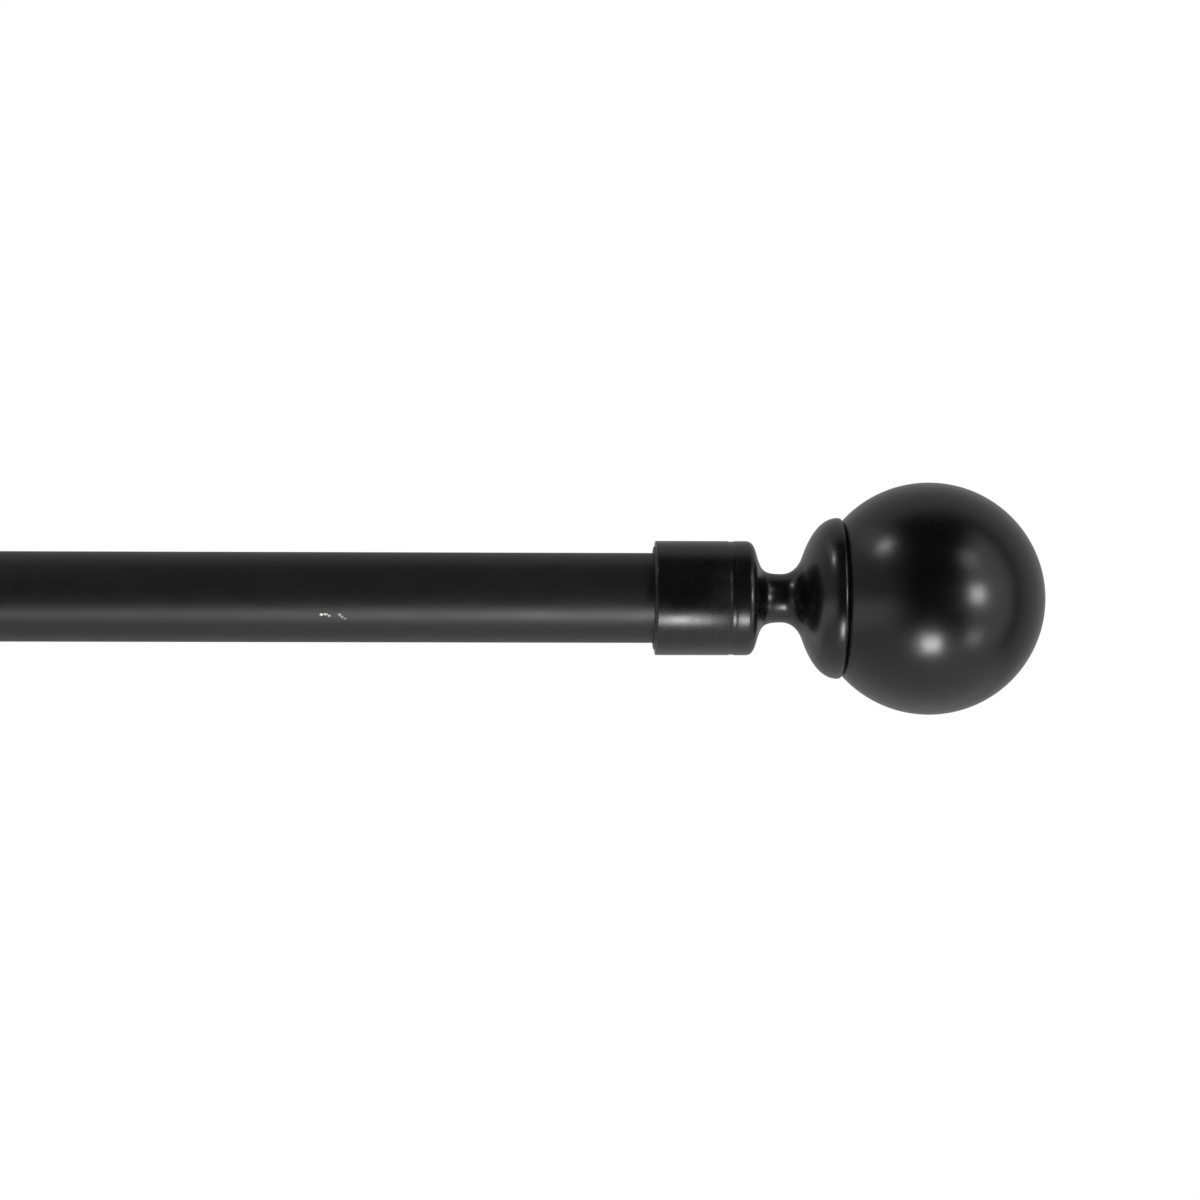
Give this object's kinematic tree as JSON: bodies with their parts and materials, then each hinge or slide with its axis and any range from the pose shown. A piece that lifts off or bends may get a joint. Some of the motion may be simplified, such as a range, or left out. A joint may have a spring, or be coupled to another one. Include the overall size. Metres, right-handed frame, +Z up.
{
  "type": "curtain rod with brackets",
  "caption": "Black telescoping curtain rod with ball finials, lying in adjustable open cradle brackets that screw to a wall.",
  "frame": {"origin": "midway between the four wall screws, on the wall, level with the rod's axis", "axes": "+X along the rod towards the thinner tube's finial, +Y into the wall, +Z up"},
  "size_m": [1.1172, 0.1633, 0.0646],
  "materials": {
    "satin_black": "satin black powder coat",
    "gloss_black": "semi-gloss black enamel",
    "moulded_black": "moulded black plastic",
    "zinc": "zinc plated steel"
  },
  "bodies": {
    "wall_mounts": {"left_wall_plate": "satin_black", "left_post": "satin_black", "left_wall_screws": "zinc", "left_post_screw": "zinc", "right_wall_plate": "satin_black", "right_post": "satin_black", "right_wall_screws": "zinc", "right_post_screw": "zinc"},
    "left_cover": {"left_cover": "satin_black"},
    "left_arm": {"left_arm": "satin_black", "left_cradle": "satin_black", "left_cradle_screw": "zinc", "left_liner": "moulded_black"},
    "left_pad": {"left_pad": "moulded_black"},
    "left_thumb_screw": {"left_thumb_screw": "gloss_black"},
    "right_cover": {"right_cover": "satin_black"},
    "right_arm": {"right_arm": "satin_black", "right_cradle": "satin_black", "right_cradle_screw": "zinc", "right_liner": "moulded_black"},
    "right_pad": {"right_pad": "moulded_black"},
    "right_thumb_screw": {"right_thumb_screw": "gloss_black"},
    "rod": {"outer_tube": "satin_black", "guide_ring": "moulded_black"},
    "inner_rod": {"inner_tube": "satin_black", "glide": "moulded_black"},
    "left_finial": {"left_socket": "gloss_black", "left_ball": "satin_black", "left_ball_stud": "zinc", "left_socket_screw": "zinc"},
    "right_finial": {"right_socket": "gloss_black", "right_sleeve": "moulded_black", "right_ball": "satin_black", "right_ball_stud": "zinc", "right_socket_screw": "zinc"}
  },
  "joints": [
    {"name": "left_cover_slide", "type": "slide", "parent": "wall_mounts", "child": "left_cover", "axis": [0, -1, 0], "range_m": [0, 0.028]},
    {"name": "left_arm_slide", "type": "slide", "parent": "wall_mounts", "child": "left_arm", "axis": [0, -1, 0], "range_m": [-0.014, 0.018]},
    {"name": "left_pad_press", "type": "slide", "parent": "left_arm", "child": "left_pad", "axis": [0, -1, 0], "range_m": [0, 0.0024]},
    {"name": "left_thumb_turn", "type": "hinge", "parent": "left_pad", "child": "left_thumb_screw", "pos_m": [-0.21, -0.12, 0], "axis": [0, -1, 0], "range_deg": [0, 1080]},
    {"name": "right_cover_slide", "type": "slide", "parent": "wall_mounts", "child": "right_cover", "axis": [0, -1, 0], "range_m": [0, 0.028]},
    {"name": "right_arm_slide", "type": "slide", "parent": "wall_mounts", "child": "right_arm", "axis": [0, -1, 0], "range_m": [-0.014, 0.018]},
    {"name": "right_pad_press", "type": "slide", "parent": "right_arm", "child": "right_pad", "axis": [0, -1, 0], "range_m": [0, 0.0024]},
    {"name": "right_thumb_turn", "type": "hinge", "parent": "right_pad", "child": "right_thumb_screw", "pos_m": [0.21, -0.12, 0], "axis": [0, -1, 0], "range_deg": [0, 1080]},
    {"name": "rod_lift", "type": "slide", "parent": "left_arm", "child": "rod", "axis": [0, 0, 1], "range_m": [0, 0.05]},
    {"name": "inner_slide", "type": "slide", "parent": "rod", "child": "inner_rod", "axis": [1, 0, 0], "range_m": [-0.19, 0.319]},
    {"name": "left_finial_pull", "type": "slide", "parent": "rod", "child": "left_finial", "axis": [-1, 0, 0], "range_m": [0, 0.03]},
    {"name": "right_finial_pull", "type": "slide", "parent": "inner_rod", "child": "right_finial", "axis": [1, 0, 0], "range_m": [0, 0.03]}
  ],
  "couplings": [
    {"joint": "right_arm_slide", "follows": "left_arm_slide", "ratio": 1},
    {"joint": "left_thumb_turn", "follows": "left_pad_press", "rad_per_m": 7854},
    {"joint": "right_thumb_turn", "follows": "right_pad_press", "rad_per_m": 7854}
  ]
}
